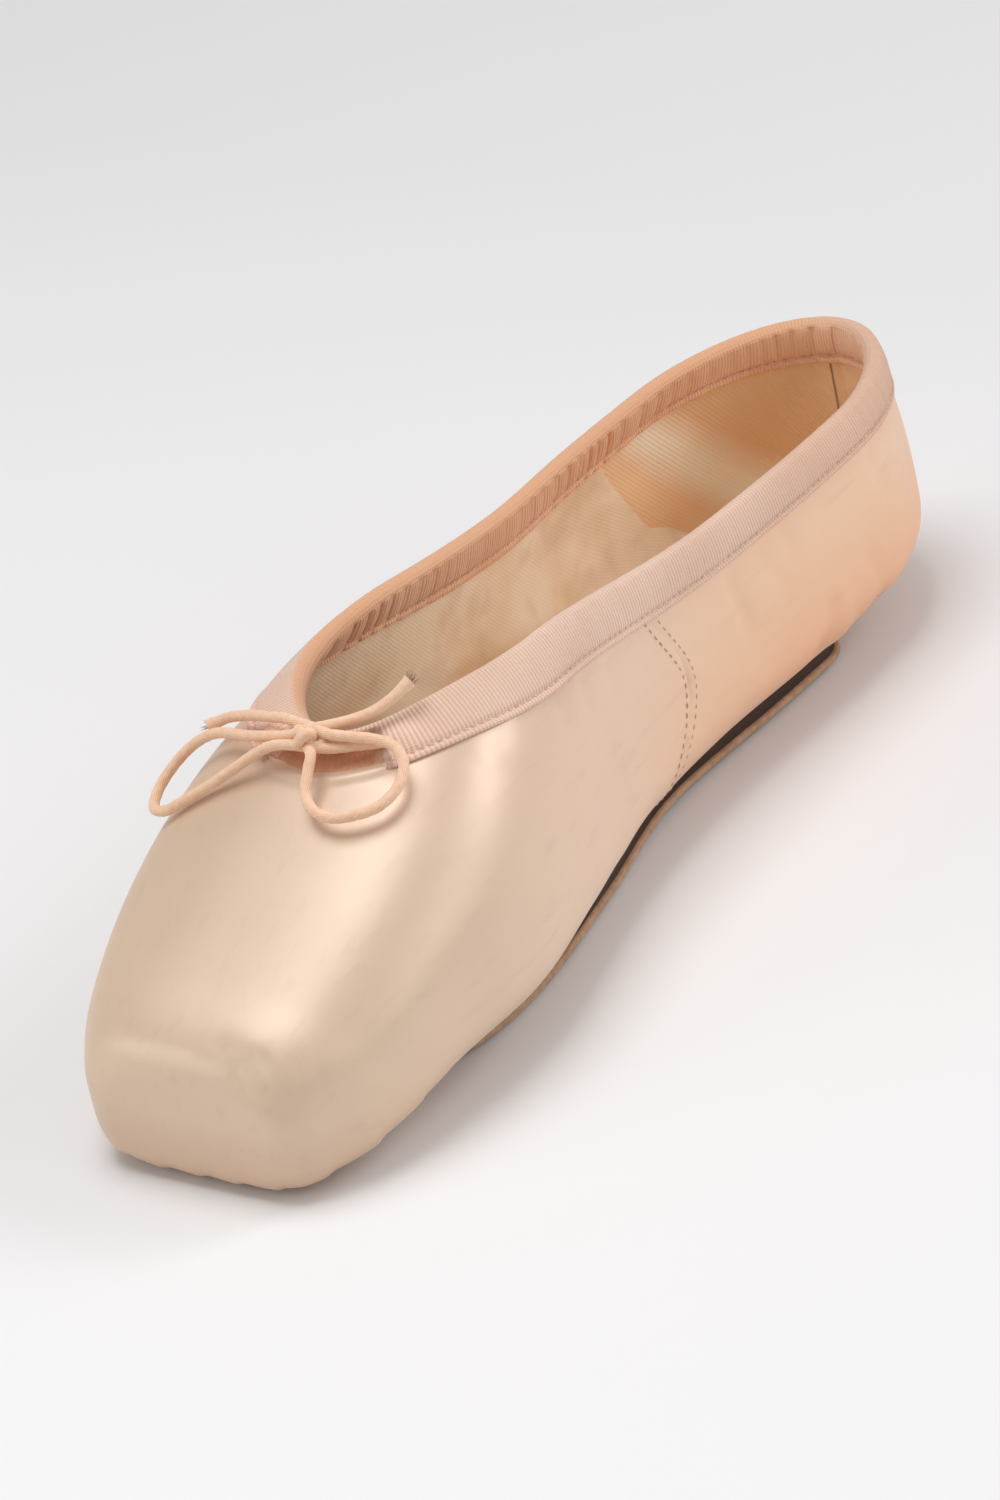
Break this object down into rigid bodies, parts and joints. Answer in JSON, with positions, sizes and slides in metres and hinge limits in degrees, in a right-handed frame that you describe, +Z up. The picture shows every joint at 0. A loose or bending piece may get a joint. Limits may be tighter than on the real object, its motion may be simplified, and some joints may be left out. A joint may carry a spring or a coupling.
{
  "type": "pointe shoe",
  "caption": "Satin ballet pointe shoe with a stiff flat-tipped toe box, low open collar in a drawstring casing tied in a bow, and a narrow leather outsole.",
  "frame": {"origin": "on the floor, under the middle of the shoe's length and width", "axes": "+Z up, +Y from the toe's platform back to the heel, +X towards the wearer's left"},
  "size_m": [0.0766, 0.2372, 0.0675],
  "materials": {
    "satin": "peach-pink satin with a soft sheen, cotton twill lining inside",
    "sole_leather": "taupe suede-faced leather, matt",
    "insole_board": "cotton sock over board, matt",
    "binding_tape": "ribbed cotton tape, matt",
    "drawstring": "thin braided cotton cord, matt"
  },
  "bodies": {
    "root": {"upper": "satin", "outsole": "sole_leather", "insole": "insole_board", "collar_binding": "binding_tape", "drawstring_knot": "drawstring", "drawstring_lead_left": "drawstring", "drawstring_lead_right": "drawstring", "drawstring_loop_left": "drawstring", "drawstring_loop_right": "drawstring", "drawstring_end_left": "drawstring", "drawstring_end_right": "drawstring"}
  },
  "joints": []
}
